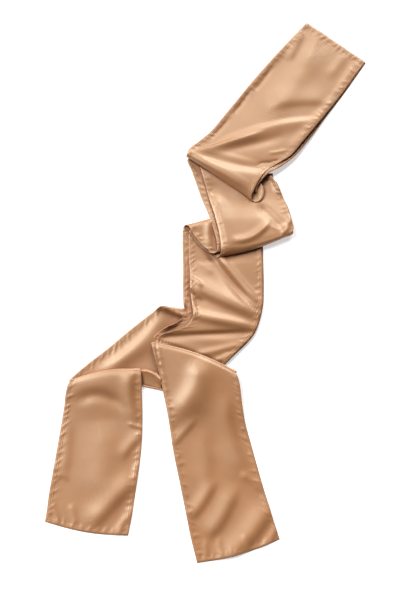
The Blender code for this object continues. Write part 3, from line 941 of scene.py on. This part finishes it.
def ramp(tree, value, stops):
    """The colour that a value has on a ramp."""
    node = tree.nodes.new("ShaderNodeValToRGB")
    elements = node.color_ramp.elements
    first, *between, last = stops
    for element, (position, colour) in zip((elements[0], elements[1]), (first, last)):
        element.position = position
        element.color = (*colour, 1.0)
    for position, colour in between:
        elements.new(position).color = (*colour, 1.0)
    tree.links.new(value, node.inputs["Fac"])
    return node.outputs["Color"]


def remapped(tree, value, ends):
    """A value brought from one range to another."""
    node = tree.nodes.new("ShaderNodeMapRange")
    set_inputs(node, ends)
    tree.links.new(value, node.inputs["Value"])
    return node.outputs["Result"]


def multiplied(tree, one, other):
    """Two colours multiplied."""
    node = tree.nodes.new("ShaderNodeMix")
    node.data_type = "RGBA"
    node.blend_type = "MULTIPLY"
    node.inputs["Factor"].default_value = 1.0
    first, second = (socket for socket in node.inputs if socket.identifier in ("A_Color", "B_Color"))
    tree.links.new(one, first)
    tree.links.new(other, second)
    return next(socket for socket in node.outputs if socket.identifier == "Result_Color")


def satin_material():
    """Satin with a fine weave, under a wide pale gloss, with painted shade darkening its colour in
    hollows, creases and under folds, where it is also duller.
    """
    material, tree, shader = new_material("champagne_satin")
    set_inputs(shader, {
        "IOR": 2.0,
        "Specular IOR Level": 0.8,
        "Specular Tint": (1.0, 0.93, 0.74, 1.0),
    })
    place = tree.nodes.new("ShaderNodeAttribute")
    place.attribute_name = "cloth_place"
    threads = tree.nodes.new("ShaderNodeMapping")
    threads.inputs["Scale"].default_value = (400.0, 3200.0, 1.0)
    tree.links.new(place.outputs["Vector"], threads.inputs["Vector"])
    weave = noise(tree, threads.outputs["Vector"], scale=1.0)
    clouds = noise(tree, place.outputs["Vector"], scale=28.0)
    # Ambient occlusion, which paints shade into the base colour in hollows and makes the gloss
    # rougher there
    hollow_occlusion = tree.nodes.new("ShaderNodeAmbientOcclusion")
    hollow_occlusion.samples = 6
    hollow_occlusion.inputs["Distance"].default_value = 0.024
    tint = ramp(tree, clouds, SATIN_TINTS)
    # Painted shade: the colour darkened where the occlusion finds hollows, creases and folds above
    painted_shade = ramp(tree, hollow_occlusion.outputs["AO"], PAINTED_HOLLOW_SHADE)
    tree.links.new(multiplied(tree, tint, painted_shade), shader.inputs["Base Color"])
    roughness = tree.nodes.new("ShaderNodeMath")
    roughness.operation = "ADD"
    gloss = remapped(tree, weave, {"To Min": 0.44, "To Max": 0.54})
    dull = remapped(tree, hollow_occlusion.outputs["AO"], {
        "From Min": 0.35,
        "From Max": 0.95,
        "To Min": 0.4,
        "To Max": 0.0,
    })
    tree.links.new(gloss, roughness.inputs[0])
    tree.links.new(dull, roughness.inputs[1])
    tree.links.new(roughness.outputs["Value"], shader.inputs["Roughness"])
    bump = tree.nodes.new("ShaderNodeBump")
    set_inputs(bump, {"Strength": 0.12, "Distance": 0.0002})
    tree.links.new(weave, bump.inputs["Height"])
    tree.links.new(bump.outputs["Normal"], shader.inputs["Normal"])
    return material


def thread_material():
    """The sewing thread, a little lighter and duller than the cloth."""
    material, tree, shader = new_material("sewing_thread")
    shader.inputs["Roughness"].default_value = 0.55
    place = tree.nodes.new("ShaderNodeTexCoord")
    twist = noise(tree, place.outputs["Object"], scale=900.0)
    tree.links.new(ramp(tree, twist, THREAD_TINTS), shader.inputs["Base Color"])
    return material


def floor_material():
    """A pale even surface that shines a little, so that it comes out nearly white."""
    material, tree, shader = new_material("pale_floor")
    set_inputs(shader, {
        "Roughness": 0.9,
        "Specular IOR Level": 0.1,
        "Emission Color": WHITE,
        "Emission Strength": 0.52,
    })
    place = tree.nodes.new("ShaderNodeTexCoord")
    grain = noise(tree, place.outputs["Object"], scale=6.0)
    tree.links.new(ramp(tree, grain, FLOOR_TINTS), shader.inputs["Base Color"])
    return material


def make_floor():
    """A plain pale surface under the scarf."""
    half = 3.0
    mesh = bpy.data.meshes.new("floor")
    corners = [(-half, -half, 0.0), (half, -half, 0.0), (half, half, 0.0), (-half, half, 0.0)]
    mesh.from_pydata(corners, [], [(0, 1, 2, 3)])
    mesh.materials.append(floor_material())
    floor = add_object("floor", mesh)


def add_sun(name, azimuth, zenith, spread, strength):
    """A soft light from one side, even over the whole floor; azimuth 0 is the top of the view."""
    data = bpy.data.lights.new(name, "SUN")
    data.angle = math.radians(spread)
    data.energy = strength
    turn = math.radians(azimuth)
    lean = math.radians(zenith)
    place = Vector((
        math.sin(turn) * math.sin(lean),
        math.cos(turn) * math.sin(lean),
        math.cos(lean),
    ))
    lamp = add_object(name, data)
    lamp.location = place
    lamp.rotation_euler = place.to_track_quat("Z", "Y").to_euler()


def make_lights():
    """Soft studio light, strongest from the upper left."""
    world = bpy.data.worlds.new("studio")
    world.use_nodes = True
    set_inputs(world.node_tree.nodes["Background"], {"Color": WHITE, "Strength": 0.04})
    bpy.context.scene.world = world
    add_sun("key", azimuth=-58.0, zenith=44.0, spread=28.0, strength=2.85)
    add_sun("top", azimuth=14.0, zenith=60.0, spread=26.0, strength=2.2)


def make_camera():
    """The camera above the scarf, tilted a little from straight down."""
    tilt = math.radians(12.0)
    distance = 1.136
    target = Vector((-MIDDLE[0], -MIDDLE[1], 0.0)) * MM
    data = bpy.data.cameras.new("camera")
    data.lens = 45.0
    data.sensor_width = 36.0
    camera = add_object("camera", data)
    camera.location = target + Vector((0.0, -math.sin(tilt), math.cos(tilt))) * distance
    camera.rotation_euler = (tilt, 0.0, 0.0)
    bpy.context.scene.camera = camera


def main():
    """Builds the cloth, then the floor, the lights and the camera."""
    satin = satin_material()
    thread = thread_material()
    for order, stretch in enumerate(STRETCHES):
        make_stretch(stretch, order, satin, thread)
    make_floor()
    make_lights()
    make_camera()
    bpy.context.scene.view_settings.view_transform = "Standard"
    bpy.context.scene.view_settings.look = "None"


main()
